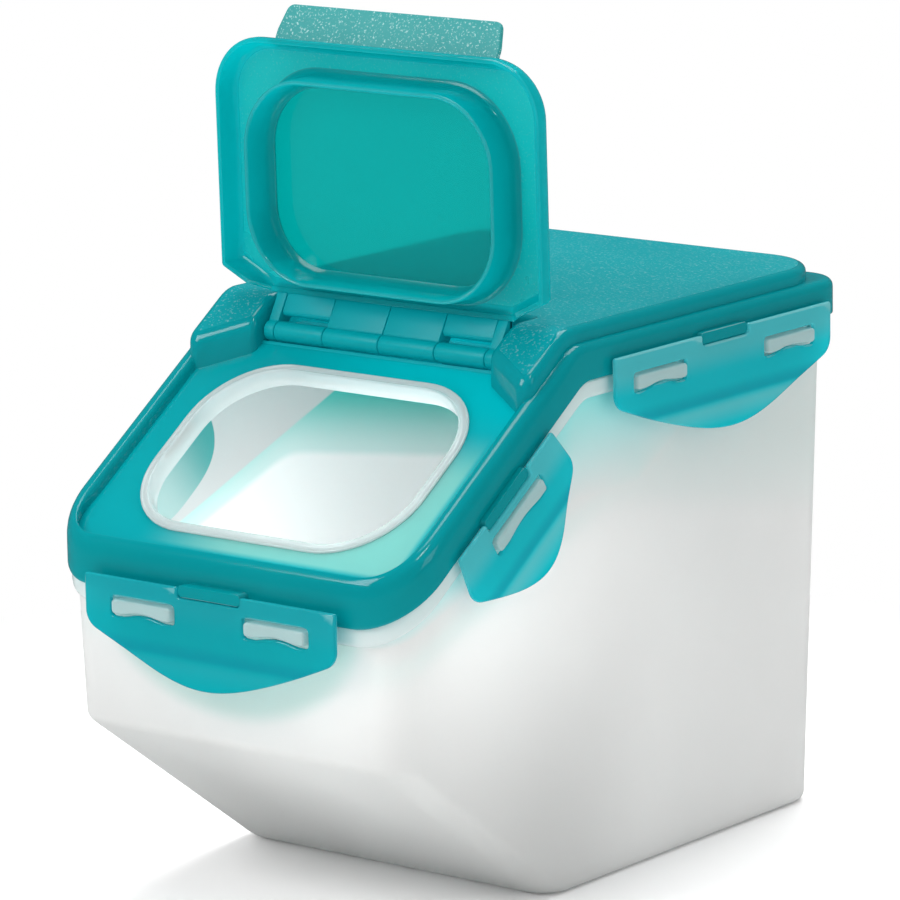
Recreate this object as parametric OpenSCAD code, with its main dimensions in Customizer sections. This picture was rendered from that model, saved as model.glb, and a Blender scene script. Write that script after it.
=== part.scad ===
// Cereal container with a sloped front, a latched lid and a flip-up pouring lid.
// X runs across the container, -Y is the front, +Z is up and z = 0 is the floor.
// "Slope" means the lid's sloped front half, and "level" its flat rear half.

/* [Lid] */
// Overall width of the lid over its skirt
lid_w = 160; // [150:1:200]
// Length of the level half, from the bend to the rear face
level_l = 159.5; // [150:0.5:220]
// Length of the sloped half along its own slope, at the skirt's lower edge
slope_l = 123.4; // [122:0.2:160]
// Angle of the sloped half below the level half, in degrees
slope_a = 34.2; // [26:0.2:40]
// Height of the skirt's lower edge above the floor, on the level half
edge_h = 182.3; // [165:0.1:240]
// Thickness of the lid's moulded sheet
sheet = 1.9; // [1.6:0.1:2.2]
// Height of the rim above the skirt's lower edge
rim_t = 13; // [12.6:0.1:15]
// Width of the rim's top, from the outer face to the recessed deck
rim_w = 7; // [6.8:0.1:9]
// Width of the rim's top across the front
rim_front_w = 3.1; // [2.4:0.1:3.4]
// Corner radius of the lid at the front
front_r = 21.7; // [19:0.1:26]
// Corner radius of the lid at the rear
rear_r = 15; // [14:0.1:20]

/* [Raised panel] */
// Height of the raised panel above the skirt's lower edge
panel_t = 18.7; // [17.5:0.1:21]
// Distance from the lid's side to the raised panel
panel_inset = 3.6; // [3:0.1:5]
// Corner radius of the raised panel at the rear
panel_r = 27; // [20:0.5:30]
// Half width of the notch in the panel that clears the flip lid's hinge
notch_hw = 52.5; // [52.5:0.1:56]
// Distance from the bend back to the notch's rear wall
notch_back = 6.7; // [4:0.1:12]
// Distance down the slope to the inner end of each shoulder
shoulder_near = 9; // [6:0.1:10]
// Distance down the slope to the outer end of each shoulder
shoulder_far = 23.4; // [20:0.1:26]

/* [Pouring deck] */
// Height of the recessed deck above the skirt's lower edge
deck_t = 9.3; // [9.1:0.1:10]
// Half width of the pouring mouth inside its seal
mouth_hw = 56.2; // [50:0.1:58]
// Distance down the slope from the bend to the mouth
mouth_near = 22.7; // [22.2:0.1:24]
// Distance along the slope from the mouth to the skirt's front face
mouth_front = 25.7; // [25:0.1:28]
// Corner radius of the pouring mouth
mouth_r = 27; // [20:0.5:30]
// Width of the seal's flat land on the deck
land_w = 3.7; // [2.5:0.1:4.5]
// Height of the seal's land above the deck
land_t = 0.9; // [0.6:0.1:1.2]
// Thickness of the seal's upright wall
seal_wall = 1.2; // [1:0.1:1.6]
// Depth of the seal's wall below its land
seal_h = 7; // [6:0.1:7.5]

/* [Bin] */
// Thickness of the bin's walls and floor
wall = 2; // [1.6:0.1:2.4]
// Draft of every wall of the bin, in degrees
draft = 1.4; // [0.6:0.1:2]
// Distance from the lid's outer face to the bin's outer wall
wall_inset = 4.5; // [4.4:0.1:4.7]
// Rounding of the bin's foot and crease
foot_round = 4; // [3:0.1:6]
// Height of the crease between the front wall and the undercut
crease_h = 62.9; // [40:0.1:75]
// Angle of the undercut above the floor, in degrees
undercut_a = 36.2; // [30:0.2:50]
// Height of the bin's rim above the skirt's lower edge
lip_t = 5; // [4:0.1:5]
// Height of the collar below the lid
collar_h = 6.8; // [5:0.1:9]
// Distance from the lid's outer face to the collar's outer face
collar_inset = 1.4; // [1:0.1:2]

/* [Flip lid] */
// Height of the hinge axis above the skirt's lower edge
axis_t = 11; // [10.6:0.1:11.4]
// Distance down the slope to the hinge axis
axis_s = 5.2; // [4.6:0.1:6]
// Half width of the flip lid over its skirt
flip_hw = 71.6; // [66:0.1:71.6]
// Distance along the slope from the flip lid's far edge to the skirt's front face
flip_front = 13.7; // [13:0.1:17]
// Corner radius of the flip lid's far corners
flip_r = 21; // [12:0.5:26]
// Height of the bevel round the flip lid's outer face
flip_bevel = 3; // [1:0.1:4]
// Forward lean of the flip lid when it stands open, in degrees
lean_a = 1.2; // [0:0.2:3]
// Distance from the hinge axis to the flip lid's near edge
flip_near = 12.9; // [12.8:0.1:14]
// Distance from the hinge axis to the outer end of each near chamfer
flip_chamfer = 21.6; // [18:0.1:24]
// Half width of the flip lid between its near chamfers
flip_neck = 54; // [50:0.1:58]
// Depth of the plug wall below the flip lid's plate
plug_h = 13.6; // [10:0.1:14]
// Thickness of the plug wall
plug_wall = 1.8; // [1.4:0.1:2.2]
// Clearance between the plug wall and the seal
plug_gap = 0.6; // [0.5:0.05:1]
// Half width of the thumb tab at its root
tab_hw = 49.2; // [20:0.2:50]
// Length of the thumb tab
tab_l = 11.6; // [8:0.1:14]
// Upward angle of the thumb tab, in degrees
tab_a = 28; // [15:1:35]

/* [Hinge] */
// Radius of the hinge barrel
barrel_r = 3.6; // [3.2:0.1:3.8]
// Radius of the hinge pin
pin_r = 1.5; // [1.2:0.1:1.8]
// Running clearance of the pin in the flip lid
pin_gap = 0.06; // [0.03:0.01:0.09]
// Half length of the hinge
hinge_hw = 52; // [50.5:0.1:52]
// Half width of the pair of middle knuckles
knuckle_mid = 25; // [18:0.5:30]
// Half width out to the end knuckles
knuckle_end = 47; // [40:0.5:48]
// Gap between neighbouring knuckles
knuckle_gap = 0.3; // [0.2:0.05:0.6]
// Gap round the barrel in its trough
trough_gap = 0.8; // [0.5:0.1:1]

/* [Latches] */
// Thickness of a latch
latch_t = 2; // [1.6:0.1:2.4]
// Gap between a latch and the skirt
latch_gap = 1; // [0.6:0.1:1.5]
// How much further the front and rear latches stand out
end_stand = 2.4; // [0:0.2:3]
// Height of the latch hinges above the skirt's lower edge
latch_up = 5; // [4:0.1:6]
// The same for the short side latches
short_latch_up = 0.6; // [0.4:0.1:1.4]
// Length of a latch from its hinge to its lower end
latch_drop = 33.5; // [30:0.5:40]
// How much longer the short side latches are
short_extra = 0.5; // [0:0.5:5]
// Height of the pull below its fold
pull_h = 9; // [6:0.5:12]
// Outward angle of the pull below the fold, in degrees
fold_a = 20; // [5:1:30]
// Distance from a latch's hinge to its lower corners
corner_drop = 16.5; // [14:0.5:20]
// Radius of a latch's lower corners
corner_r = 7; // [2:0.5:8]
// Roundness of the lower edge of the front, rear and long latches
latch_belly = 12; // [2:0.5:20]
// Distance from a latch's hinge to the middle of its slots
slot_drop = 9.2; // [8.6:0.1:10]
// Height of a slot
slot_h = 7; // [6:0.1:7.5]
// Clearance round a lug in its slot
lug_gap = 1; // [0.8:0.1:1.4]
// How far a lug stands out of its slot
lug_proud = 1; // [0.3:0.1:2]
// Length of the film web in the middle of a latch's hinge
web_l = 28; // [16:1:40]
// Half width of the front and rear latches
end_latch_hw = 55.5; // [48:0.5:60]
// Distance from the middle of the front and rear latches to each slot
end_slot_x = 29.5; // [26:0.5:34]
// Length of each slot in the front and rear latches
end_slot_l = 28.5; // [20:0.5:32]
// Half length of the long side latches
long_latch_hw = 65; // [56:0.5:70]
// Distance from the middle of a long side latch to each slot
long_slot_x = 39; // [30:0.5:44]
// Length of each slot in the long side latches
long_slot_l = 31; // [20:0.5:34]
// Distance from the bend back to the middle of the long side latches
long_latch_y = 78.7; // [76:0.1:84]
// Half length of the short side latches on the slope
short_latch_hw = 34; // [28:0.5:36]
// How much shorter the hinge of a short side latch is at each end
short_taper = 3; // [0:0.5:4]
// Roundness of the lower edge of the short side latches
short_belly = 22; // [4:0.5:30]
// Length of the slot in a short side latch
short_slot_l = 33; // [20:0.5:36]
// Distance down the slope to the middle of the short side latches
short_latch_s = 57; // [50:0.1:60]
// How far the slot of a short side latch lies up the slope from its middle
short_slot_up = 1.4; // [0:0.1:3]

/* [Hidden] */
$fn = 48;
teal = [0, 0.62, 0.64];
frost = [0.93, 0.94, 0.94];
silicone = [0.86, 0.88, 0.88];
eps = 0.01;
far = 400;

slope_run = slope_l * cos(slope_a);
lid_l = level_l + slope_run;
mouth_hl = (slope_l - mouth_near - mouth_front) / 2;
mouth_s = mouth_near + mouth_hl;
flip_l = slope_l - axis_s - flip_front;
bend_y = slope_run - lid_l / 2;
front_edge_h = edge_h - slope_l * sin(slope_a);
bisector = tan(slope_a / 2);

bin_r = rear_r - wall_inset;
chan_front = wall_inset + wall + 0.4;  // distance in to the channel wall's outer face, at the front
chan_in = chan_front + slope_l * sin(slope_a) * tan(draft);  // the same, at the sides and rear
upstand_in = rim_w - sheet;      // distance in to the hidden face of the rim's inner wall
deck_low = deck_t - sheet;
rim_plane = axis_t - (deck_t + 0.2);  // hinge axis above the flip lid's lower edge
flip_top = panel_t - axis_t;     // flip lid's outer face above the hinge axis
hinge = [0, bend_y - axis_s * cos(slope_a) - axis_t * sin(slope_a),
    edge_h - axis_s * sin(slope_a) + axis_t * cos(slope_a)];
latch_out = latch_gap + latch_t / 2;
panel_turn = panel_r + panel_inset;  // the panel's rear corner, continued out to the lid's face

// ---------- Frames ----------

// X stays, Y runs back from the bend and Z is the height above the skirt's lower edge
module level_frame() {
    translate([0, bend_y, edge_h]) children();
}

// X stays, Y runs down the slope from the bend and Z stands off the slope
module slope_frame() {
    translate([0, bend_y, edge_h]) rotate([slope_a, 0, 0]) mirror([0, 1, 0]) children();
}

// The flip lid stands open: Y runs from the hinge to its far edge, Z points out of its top
module flip_frame() {
    translate(hinge) rotate([90 - lean_a, 0, 180]) children();
}

// Each latch: X along its hinge, Y outwards and Z up, with the hinge axis as origin
module front_frame() {
    translate([0, -lid_l / 2 - latch_out - end_stand, front_edge_h + latch_up])
        rotate([0, 0, 180]) children();
}
module rear_frame() {
    translate([0, lid_l / 2 + latch_out + end_stand, edge_h + latch_up]) children();
}
module long_frame(side) {
    level_frame() translate([side * (lid_w / 2 + latch_out), long_latch_y, latch_up])
        rotate([0, 0, -90 * side]) children();
}
module short_frame(side) {
    slope_frame() translate([side * (lid_w / 2 + latch_out), short_latch_s, short_latch_up])
        rotate([0, 0, -90 * side]) children();
}

// ---------- Shared shapes ----------

// Rectangle with rounded corners, given by its half sizes
module round_rect(hx, hy, r) {
    square([2 * (hx - r), 2 * hy], center = true);
    square([2 * hx, 2 * (hy - r)], center = true);
    for (sx = [-1, 1], sy = [-1, 1]) translate([sx * (hx - r), sy * (hy - r)]) circle(r);
}

// Disc with rounded edges, for the corners of hulls
module puck(r, round) {
    rotate_extrude($fn = 32) translate([r - round, 0]) circle(round, $fn = 32);
}

// Side profile in Y and Z, carried across the whole width
module across() {
    rotate([90, 0, 90]) linear_extrude(far, center = true) children();
}

// Point of the side profile that lies s down the slope and t above the skirt's lower edge
function on_slope(s, t) =
    [bend_y - s * cos(slope_a) - t * sin(slope_a), edge_h - s * sin(slope_a) + t * cos(slope_a)];

// Everything below the bent surface at height t
module under_lid(t) {
    across() polygon([[bend_y - t * bisector, edge_h + t], [far, edge_h + t], [far, -far],
        [-far, -far], on_slope(2 * far, t)]);
}

// The lid's plan, drawn in by inset at the sides and rear and by front at the front
module plan(inset, front, rear = rear_r) {
    hw = lid_w / 2 - inset;
    back = lid_l / 2 - inset;
    fore = lid_l / 2 - front;
    rf = max(front_r - inset, 1);
    rr = max(rear - inset, 1);
    translate([-hw, rf - fore]) square([2 * hw, fore + back - rf - rr]);
    translate([rf - hw, -fore]) square([2 * (hw - rf), fore]);
    translate([rr - hw, 0]) square([2 * (hw - rr), back]);
    for (sx = [-1, 1]) {
        translate([sx * (hw - rf), rf - fore]) circle(rf);
        translate([sx * (hw - rr), back - rr]) circle(rr);
    }
}

// A plan carried upwards and cut between two heights above the skirt's lower edge
module slab(low, high) {
    difference() {
        intersection() {
            linear_extrude(edge_h + far / 4) children();
            under_lid(high);
        }
        under_lid(low);
    }
}

// ---------- Bin ----------

function bin_hw(z) = lid_w / 2 - wall_inset - (edge_h - z) * tan(draft);
function bin_rear(z) = lid_l / 2 - wall_inset - (edge_h - z) * tan(draft);
function bin_front(z) = wall_inset - lid_l / 2 + (front_edge_h - z) * tan(draft);

// The bin's convex outer form, drawn in by inset and open upwards
module bin_form(inset) {
    r = bin_r - inset;
    e = foot_round - inset / 2;
    top = edge_h + panel_t;
    low = inset + e;
    crease_z = crease_h + e * tan((90 - undercut_a) / 2) + inset / 2;
    foot_y = bin_front(crease_h) + crease_h / tan(undercut_a) + (inset + e) * tan(undercut_a / 2);
    hull() for (sx = [-1, 1]) {
        translate([sx * (bin_hw(low) - inset - r), bin_rear(low) - inset - r, low]) puck(r, e);
        translate([sx * (bin_hw(low) - inset - r), foot_y + r - e, low]) puck(r, e);
        translate([sx * (bin_hw(crease_z) - inset - r), bin_front(crease_z) + inset + r, crease_z])
            puck(r, e);
        for (y = [bin_rear(top) - inset - r, bin_front(top) + inset + r])
            translate([sx * (bin_hw(top) - inset - r), y, top]) cylinder(r = r, h = eps, $fn = 32);
    }
}

// Bar with thick ends that fills a latch slot, let into the bin by root from the lid's face
module lug(length, root) {
    h = slot_h - 2 * lug_gap;
    reach = latch_out + root + latch_t / 2 + lug_proud;
    translate([0, latch_t / 2 + lug_proud - reach, -slot_drop]) rotate([-90, 0, 0])
        linear_extrude(reach) {
            square([length - 2 * lug_gap - h, h * 0.7], center = true);
            for (sx = [-1, 1]) translate([sx * (length / 2 - lug_gap - h / 2), 0]) circle(h / 2);
        }
}

module bin() color(frost) difference() {
    union() {
        intersection() {
            bin_form(0);
            under_lid(lip_t);
        }
        slab(-collar_h, -0.3) plan(collar_inset, collar_inset);
        for (sx = [-1, 1]) {
            front_frame() translate([sx * end_slot_x, 0])
                lug(end_slot_l, collar_inset + 1 + end_stand);
            rear_frame() translate([sx * end_slot_x, 0])
                lug(end_slot_l, collar_inset + 1 + end_stand);
            for (side = [-1, 1]) long_frame(side) translate([sx * long_slot_x, 0])
                lug(long_slot_l, collar_inset + 1);
            short_frame(sx) translate([sx * short_slot_up, 0]) lug(short_slot_l, wall_inset + wall);
        }
    }
    bin_form(wall);
}

// ---------- Lid ----------

// Plan of the raised panel, drawn in by inset round the hinge notch and the shoulders
module panel_plan(inset) {
    edge = lid_w / 2 - panel_inset;
    rise = (shoulder_far - shoulder_near) * cos(slope_a) / (edge - notch_hw);
    near_y = on_slope(shoulder_near, panel_t).x + inset * sqrt(1 + rise * rise);
    x = notch_hw + inset;
    wide = lid_w / 2;
    intersection() {
        plan(panel_inset + inset, panel_inset, panel_turn);
        polygon([[-wide, lid_l], [wide, lid_l], [wide, near_y - (wide - notch_hw) * rise],
            [x, near_y - inset * rise], [x, bend_y + notch_back + inset],
            [-x, bend_y + notch_back + inset], [-x, near_y - inset * rise],
            [-wide, near_y - (wide - notch_hw) * rise]]);
    }
}

// Open space above the deck, round the hinge and the pouring mouth
module deck_recess() {
    slab(deck_t, panel_t + 1) difference() {
        plan(rim_w, rim_front_w);
        panel_plan(0);
        translate([-lid_w, bend_y + notch_back + 5]) square(2 * lid_w);
    }
}

// Hollow inside the skirt: the channel for the gasket and the bin's rim
module channel() {
    slab(-1, deck_low) plan(sheet, sheet);
    slab(deck_low - eps, rim_t - sheet) difference() {
        plan(sheet, sheet);
        plan(upstand_in, sheet - 0.3, panel_turn);
    }
}

// Hollow under the raised panel and its shoulders
module panel_hollow() {
    slab(deck_low - eps, panel_t - sheet) intersection() {
        panel_plan(sheet);
        plan(chan_in + sheet, chan_front + sheet, panel_turn);
    }
    slab(deck_t, panel_t - sheet) intersection() {
        panel_plan(sheet);
        plan(rim_w, rim_front_w, panel_turn);
    }
    slab(rim_t, panel_t - sheet) panel_plan(sheet);
}

// Wall inside the channel, joined to the deck's sheet
module channel_wall() {
    slab(2, deck_low + eps) difference() {
        plan(chan_in, chan_front);
        plan(chan_in + sheet, chan_front + sheet);
    }
}

module knuckle(from, to, r) {
    translate([from, 0, 0]) rotate([0, 90, 0]) cylinder(r = r, h = to - from);
}

module mouth_hole(out, r_out) {
    slope_frame() translate([0, mouth_s, -far / 8]) linear_extrude(far / 4)
        round_rect(mouth_hw + out, mouth_hl + out, mouth_r + r_out);
}

// Half pan below the deck that the hinge barrel sinks into
module trough_pan() {
    slope_frame() translate([0, axis_s, axis_t]) intersection() {
        knuckle(-hinge_hw - sheet, hinge_hw + sheet, barrel_r + trough_gap + sheet);
        translate([-far, -far, -far - (axis_t - deck_t)]) cube([2 * far, 2 * far, far]);
    }
}

module trough() {
    slope_frame() translate([0, axis_s, axis_t])
        knuckle(-hinge_hw - 0.3, hinge_hw + 0.3, barrel_r + trough_gap);
}

module lid_knuckles() {
    x0 = knuckle_mid + knuckle_gap / 2;
    x1 = knuckle_end - knuckle_gap / 2;
    post = barrel_r + trough_gap + sheet / 2;
    for (side = [0, 1]) mirror([side, 0, 0]) slope_frame() translate([0, axis_s, axis_t]) {
        knuckle(x0, x1, barrel_r);
        translate([x0, -1.6, -post]) cube([x1 - x0, 3.2, post]);
    }
}

// Ledge that carries the film web of a latch, stand further out from the skirt
module web_cradle(stand) {
    reach = latch_out + stand + sheet / 2;
    difference() {
        translate([-web_l / 2, -reach, -1.5]) cube([web_l, reach, 3]);
        rotate([0, 90, 0]) cylinder(r = latch_t / 2 + 0.1, h = far, center = true);
        translate([-far / 2, -latch_t / 2 - 0.1, -far]) cube([far, far, far]);
    }
}

module lid() color(teal) difference() {
    union() {
        difference() {
            union() {
                difference() {
                    union() {
                        slab(0, rim_t) plan(0, 0);
                        slab(deck_t, panel_t) panel_plan(0);
                    }
                    deck_recess();
                    channel();
                    panel_hollow();
                }
                channel_wall();
                trough_pan();
            }
            trough();
            mouth_hole(seal_wall + 0.2, seal_wall + 0.2);
        }
        lid_knuckles();
        front_frame() web_cradle(end_stand);
        rear_frame() web_cradle(end_stand);
        for (side = [-1, 1]) {
            long_frame(side) web_cradle(0);
            short_frame(side) web_cradle(0);
        }
    }
    slope_frame() translate([0, axis_s, axis_t]) knuckle(-hinge_hw, hinge_hw, pin_r);
}

// Soft ring in the lid's channel, which the bin's rim presses into
module lid_gasket() color(silicone) slab(lip_t + 0.1, deck_low - 0.1) difference() {
    plan(sheet + 0.4, sheet + 0.4);
    plan(chan_in - 0.3, chan_front - 0.3);
}

// Soft ring that clips round the deck's edge and seals the plug
module spout_seal() color(silicone) slope_frame() translate([0, mouth_s, 0]) difference() {
    lip = land_w - 0.8;
    union() {
        translate([0, 0, deck_t]) linear_extrude(land_t)
            round_rect(mouth_hw + land_w, mouth_hl + land_w, mouth_r + land_w);
        translate([0, 0, deck_t + land_t - seal_h]) linear_extrude(seal_h)
            round_rect(mouth_hw + seal_wall, mouth_hl + seal_wall, mouth_r + seal_wall);
        translate([0, 0, deck_low - 1.4]) linear_extrude(1.4)
            round_rect(mouth_hw + lip, mouth_hl + lip, mouth_r + lip);
    }
    linear_extrude(far / 4) round_rect(mouth_hw, mouth_hl, mouth_r);
}

module hinge_pin() color(teal) slope_frame() translate([0, axis_s, axis_t])
    knuckle(-hinge_hw + 0.5, hinge_hw - 0.5, pin_r);

// ---------- Flip lid ----------

// Plan of the flip lid, drawn in by inset: rounded far corners and chamfered near ones
module flip_plan(inset) {
    hw = flip_hw - inset;
    r = max(flip_r - inset, 1);
    top = flip_l - inset;
    near = flip_near + inset;
    translate([-hw, flip_chamfer + inset / 2]) square([2 * hw, top - r - flip_chamfer - inset / 2]);
    translate([r - hw, top - r]) square([2 * (hw - r), r]);
    for (sx = [-1, 1]) translate([sx * (hw - r), top - r]) circle(r);
    polygon([[-hw, flip_chamfer + inset / 2], [inset / 2 - flip_neck, near],
        [flip_neck - inset / 2, near], [hw, flip_chamfer + inset / 2]]);
}

// Cross-section of the hinge arm: from the plate down to the barrel
module arm_profile() {
    plate_low = flip_top - sheet;
    polygon([[0, barrel_r], [plate_low, flip_near], [flip_top, flip_near], [flip_top, barrel_r],
        [plate_low - 0.8, barrel_r], [barrel_r, 0], [0, 0]]);
}

module flip_arm(from, to) {
    knuckle(from, to, barrel_r);
    translate([from, 0, 0]) rotate([90, 0, 90]) linear_extrude(to - from) mirror([1, -1]) arm_profile();
}

module thumb_tab() {
    reach = tab_l + 2;
    translate([0, flip_l - 1.5, flip_top - 1.3]) rotate([tab_a, 0, 0])
        translate([0, 0, -sheet / 2]) linear_extrude(sheet) {
            translate([-tab_hw, -2]) square([2 * tab_hw, reach - 3]);
            translate([5 - tab_hw, 0]) square([2 * (tab_hw - 5), reach]);
            for (sx = [-1, 1]) translate([sx * (tab_hw - 5), reach - 5]) circle(5);
        }
}

module flip_lid() color(teal) flip_frame() difference() {
    plug_hw = mouth_hw - plug_gap;
    plug_hl = mouth_hl - plug_gap;
    plug_r = mouth_r - plug_gap;
    plate_low = flip_top - sheet;
    x0 = knuckle_gap / 2;
    union() {
        difference() {
            union() {
                translate([0, 0, -rim_plane]) linear_extrude(flip_top + rim_plane - flip_bevel)
                    flip_plan(0);
                hull() {
                    translate([0, 0, flip_top - flip_bevel - eps]) linear_extrude(eps) flip_plan(0);
                    translate([0, 0, flip_top - eps]) linear_extrude(eps) flip_plan(flip_bevel * 0.6);
                }
            }
            translate([0, 0, -rim_plane - 1]) linear_extrude(plate_low + rim_plane + 1) {
                flip_plan(sheet);
                translate([sheet - flip_neck, 0]) square([2 * (flip_neck - sheet), flip_chamfer]);
            }
        }
        translate([0, mouth_s - axis_s, plate_low - plug_h]) linear_extrude(plug_h + 0.5) difference() {
            round_rect(plug_hw, plug_hl, plug_r);
            round_rect(plug_hw - plug_wall, plug_hl - plug_wall, plug_r - plug_wall);
        }
        thumb_tab();
        translate([-hinge_hw + 0.5, barrel_r, plate_low]) cube([2 * hinge_hw - 1, flip_near, sheet]);
        for (side = [0, 1]) mirror([side, 0, 0]) {
            flip_arm(x0, knuckle_mid - x0);
            flip_arm(knuckle_end + x0, hinge_hw - 0.5);
        }
    }
    knuckle(-hinge_hw, hinge_hw, pin_r + pin_gap);
}

// ---------- Latches ----------

module latch(hw, drop, belly, taper, slots, slot_l) color(teal) {
    fold = drop - pull_h;
    difference() {
        union() {
            rotate([0, 90, 0]) cylinder(r = latch_t / 2, h = 2 * (hw - taper), center = true);
            translate([0, latch_t / 2, 0]) rotate([90, 0, 0]) linear_extrude(latch_t) intersection() {
                latch_face(hw, drop, belly, taper);
                translate([-hw, -fold]) square([2 * hw, fold]);
            }
            translate([0, 0, -fold]) rotate([fold_a, 0, 0]) translate([0, latch_t / 2, fold])
                rotate([90, 0, 0]) linear_extrude(latch_t) intersection() {
                    latch_face(hw, drop, belly, taper);
                    translate([-hw, -drop - 1]) square([2 * hw, pull_h + 1.3]);
                }
        }
        for (x = slots) translate([x, 0, -slot_drop]) rotate([90, 0, 0])
            linear_extrude(2 * latch_t + 2, center = true) slot_face(slot_l);
    }
}

// Face of a latch: ends that widen by taper, rounded corners, then slopes into a round belly
module latch_face(hw, drop, belly, taper) {
    n = 16;
    slope = sqrt(pow(drop + belly - corner_drop, 2) - belly * belly) / hw;
    phi = atan(slope);
    corner = [for (i = [0:5]) let (q = i * (90 - phi) / 5)
        [hw - corner_r * (1 - cos(q)),
            corner_r * (1 / cos(phi) - tan(phi) - sin(q)) - corner_drop]];
    reach = corner[5].x;
    edge = [for (i = [1:2 * n - 1]) let (x = reach * (1 - i / n))
        [x, sqrt(belly * belly + pow(slope * x, 2)) - drop - belly]];
    polygon(concat([[taper - hw, 0], [hw - taper, 0]], corner, edge,
        [for (i = [5:-1:0]) [-corner[i].x, corner[i].y]]));
}

// A slot with a slightly arched lower edge
module slot_face(length) {
    r = 1.4;
    bow = 1.4;
    bow_r = (length * length / 16 + bow * bow) / (2 * bow);
    difference() {
        round_rect(length / 2, slot_h / 2, r);
        translate([0, bow / 2 - slot_h / 2 - bow_r]) circle(bow_r);
    }
}

module end_latch()
    latch(end_latch_hw, latch_drop, latch_belly, 0, [-end_slot_x, end_slot_x], end_slot_l);
module long_latch(side) long_frame(side)
    latch(long_latch_hw, latch_drop, latch_belly, 0, [-long_slot_x, long_slot_x], long_slot_l);
module short_latch(side) short_frame(side) latch(short_latch_hw, latch_drop + short_extra,
    short_belly, short_taper, [side * short_slot_up], short_slot_l);
module latch_front() front_frame() end_latch();
module latch_rear() rear_frame() end_latch();
module latch_right_rear() long_latch(1);
module latch_left_rear() long_latch(-1);
module latch_right_front() short_latch(1);
module latch_left_front() short_latch(-1);

bin();
lid();
lid_gasket();
spout_seal();
hinge_pin();
flip_lid();
latch_front();
latch_rear();
latch_right_rear();
latch_right_front();
latch_left_rear();
latch_left_front();
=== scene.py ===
# Cereal container with a flip spout: looks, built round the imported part.
# Sizes in the dictionaries are millimetres; meshes are written in metres.
import math

import bmesh
import bpy
import numpy as np
from mathutils import Matrix, Vector
from mathutils.geometry import delaunay_2d_cdt


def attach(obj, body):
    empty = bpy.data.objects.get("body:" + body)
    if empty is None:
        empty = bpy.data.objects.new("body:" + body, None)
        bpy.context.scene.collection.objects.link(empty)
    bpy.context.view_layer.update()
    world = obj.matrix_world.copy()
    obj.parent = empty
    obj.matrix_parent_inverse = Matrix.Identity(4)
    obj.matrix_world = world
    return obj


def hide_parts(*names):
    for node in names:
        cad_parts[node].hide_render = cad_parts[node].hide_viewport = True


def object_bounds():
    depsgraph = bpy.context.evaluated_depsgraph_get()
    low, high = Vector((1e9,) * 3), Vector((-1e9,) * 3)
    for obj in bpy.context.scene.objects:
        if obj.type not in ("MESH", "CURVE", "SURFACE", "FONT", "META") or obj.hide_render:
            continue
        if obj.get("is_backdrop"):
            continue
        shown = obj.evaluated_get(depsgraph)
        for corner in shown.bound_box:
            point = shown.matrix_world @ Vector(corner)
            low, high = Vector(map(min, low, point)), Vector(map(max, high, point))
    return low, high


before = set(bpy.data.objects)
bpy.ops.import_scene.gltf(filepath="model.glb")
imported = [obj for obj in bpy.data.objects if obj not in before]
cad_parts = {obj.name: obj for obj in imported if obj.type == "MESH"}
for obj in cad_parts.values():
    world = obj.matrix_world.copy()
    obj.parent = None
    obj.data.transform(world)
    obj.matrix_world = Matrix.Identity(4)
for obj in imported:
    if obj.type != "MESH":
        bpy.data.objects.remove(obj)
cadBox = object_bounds()
scene = bpy.context.scene
print("frame loaded:", len(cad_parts), "nodes")


form = {
    "halfWidth": 80.0,  # lid over its skirt
    "halfLength": 130.781,
    "bendY": -28.719,  # where the level half meets the slope, at the skirt's lower edge
    "edgeHeight": 182.3,  # skirt's lower edge on the level half
    "slope": math.radians(34.2),
    "slopeLength": 123.4,  # sloped half along its skirt's lower edge
    "bendBlend": 2.6,  # height over which the bend is rounded
    "frontRadius": 21.7,
    "rearRadius": 15.0,
}
halfWidth, halfLength, bendY, edgeHeight = (form[k] for k in ("halfWidth", "halfLength", "bendY", "edgeHeight"))
cosA, sinA = math.cos(form["slope"]), math.sin(form["slope"])
frontEdge = edgeHeight - form["slopeLength"] * sinA


def smoothMin(a, b, blend):
    # the lower of two values, rounded by a parabola where they differ by less than blend
    h = np.clip(blend - np.abs(a - b), 0, None) / blend
    return np.minimum(a, b) - h * h * blend / 4


def bentHeight(y, t):
    # height of the bent surface that lies t above the skirt's lower edge, over plan position y
    level = edgeHeight + t + 0 * y
    sloped = edgeHeight + t / cosA + (y - bendY) * sinA / cosA
    return smoothMin(level, sloped, form["bendBlend"])


def liftBent(x, y, t):
    # plan position and height above the skirt's lower edge to a point
    return np.stack([x + 0 * t, y + 0 * t, bentHeight(y, t)], -1)


def liftSlope(x, s, t):
    # s runs down the slope from the bend, t stands off it
    return np.stack([x + 0 * s + 0 * t, bendY - s * cosA - t * sinA,
                     edgeHeight - s * sinA + t * cosA], -1)


def slopePlanY(s, t):
    # plan position of a point s down the slope and t off it
    return bendY - s * cosA - t * sinA


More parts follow.
